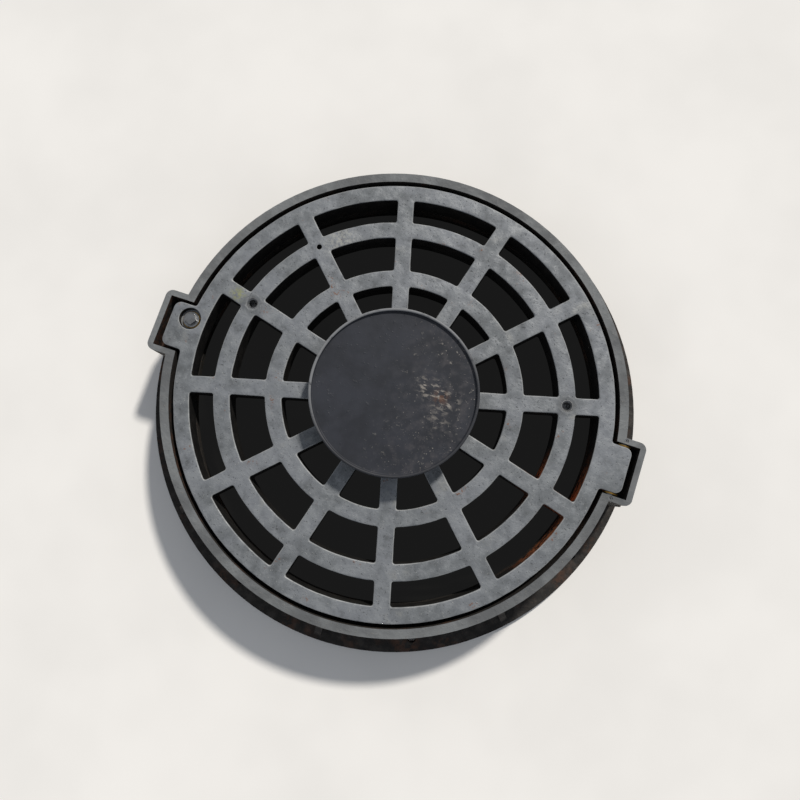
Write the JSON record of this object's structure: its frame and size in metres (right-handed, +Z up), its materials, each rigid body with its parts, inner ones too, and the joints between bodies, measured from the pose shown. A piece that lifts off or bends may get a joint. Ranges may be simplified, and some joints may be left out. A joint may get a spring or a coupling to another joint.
{
  "type": "manhole cover",
  "caption": "Round hinged cast-iron manhole grate with a raised centre cap, a turning lock and its seating frame.",
  "frame": {"origin": "centre of the anchor holes on the underside of the frame's base flange", "axes": "+Z up out of the road, +X towards the hinge, -X towards the lock"},
  "size_m": [0.71, 0.71, 0.1385],
  "materials": {
    "frame_iron": "cast, dipped in black coating, weathered grey",
    "grate_iron": "cast, coating worn to grey, polished edges",
    "cap_iron": "cast and machined, dark coated, smooth",
    "seat_rubber": "moulded elastomer, matt",
    "steel": "turned stainless steel, dulled",
    "zinc_steel": "zinc plated, dulled",
    "brass": "turned brass, tarnished"
  },
  "bodies": {
    "frame_body": {"frame": "frame_iron", "seat_gasket": "seat_rubber", "keeper_plate": "steel", "keeper_screws": "steel", "hinge_pin": "steel", "hinge_set_screws": "steel"},
    "lid_body": {"grate": "grate_iron", "grate_hub": "grate_iron", "lifting_inserts": "steel", "hinge_bush_front": "brass", "hinge_bush_rear": "brass", "lock_bush": "brass", "lock_seal": "seat_rubber", "centre_cap": "cap_iron", "cap_gasket": "seat_rubber", "cap_studs": "steel", "cap_washers": "zinc_steel", "cap_nuts": "zinc_steel"},
    "lock_body": {"lock_spindle": "steel", "lock_thrust_washer": "brass", "lock_spring_washer": "steel", "lock_pawl": "zinc_steel", "lock_washer": "zinc_steel", "lock_nut": "zinc_steel"}
  },
  "joints": [
    {"name": "lid_hinge", "type": "hinge", "parent": "frame_body", "child": "lid_body", "pos_m": [0.316, 0, 0.088], "axis": [0, 1, 0], "range_deg": [0, 100]},
    {"name": "lock_turn", "type": "hinge", "parent": "lid_body", "child": "lock_body", "pos_m": [-0.301, 0.013, 0.06], "axis": [0, 0, -1], "range_deg": [0, 90]}
  ]
}
